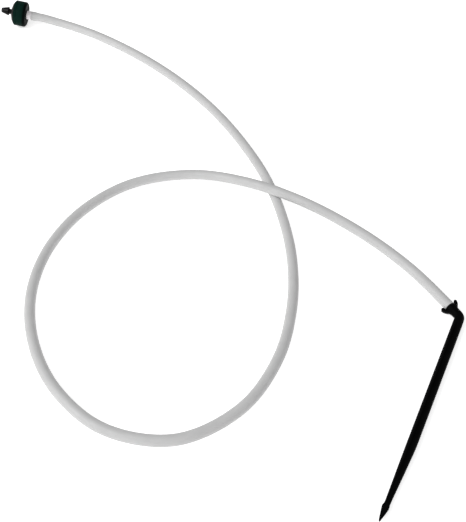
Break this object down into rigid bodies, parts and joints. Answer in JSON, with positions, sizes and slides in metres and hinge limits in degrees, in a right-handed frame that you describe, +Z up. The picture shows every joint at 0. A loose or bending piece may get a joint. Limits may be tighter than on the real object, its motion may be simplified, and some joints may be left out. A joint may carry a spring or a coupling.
{
  "type": "drip irrigation dripper assembly",
  "caption": "Pressure compensating button dripper with a barbed inlet, joined by a looped micro-tube to an angled arrow stake that holds the outlet in the soil.",
  "frame": {"origin": "on the surface that the assembly lies on, under the middle of the box round the dripper and the stake", "axes": "+Z up from the surface; +Y away from the stake towards the dripper, along the longest side of that box; +X from the dripper's side to the stake's side"},
  "size_m": [0.249, 0.3426, 0.0161],
  "materials": {
    "housing_black": "moulded black acetal, satin to glossy",
    "housing_green": "moulded very dark green acetal, satin to glossy",
    "silicone": "translucent silicone sheet",
    "tube_grey": "extruded light grey polyethylene, faintly waxy",
    "stake_black": "moulded black polypropylene, matt"
  },
  "bodies": {
    "tube": {"tube_dripper_end": "tube_grey", "tube_run": "tube_grey", "tube_stake_end": "tube_grey"},
    "dripper": {"inlet_barb": "housing_black", "inlet_base": "housing_black", "outlet_cover": "housing_green"},
    "disc": {"diaphragm": "silicone"},
    "stake": {"arrow_stake": "stake_black"}
  },
  "joints": [
    {"name": "dripper_swivel", "type": "hinge", "parent": "tube", "child": "dripper", "pos_m": [-0.1084, 0.1623, 0.00735], "axis": [0.9811, -0.0858, -0.1736], "continuous": true},
    {"name": "stake_swivel", "type": "hinge", "parent": "tube", "child": "stake", "pos_m": [0.1195, -0.0701, 0.0025], "axis": [-0.512, 0.859, 0], "continuous": true},
    {"name": "disc_travel", "type": "slide", "parent": "dripper", "child": "disc", "axis": [0.9811, -0.0858, -0.1736], "range_m": [0, 0.0005]}
  ]
}
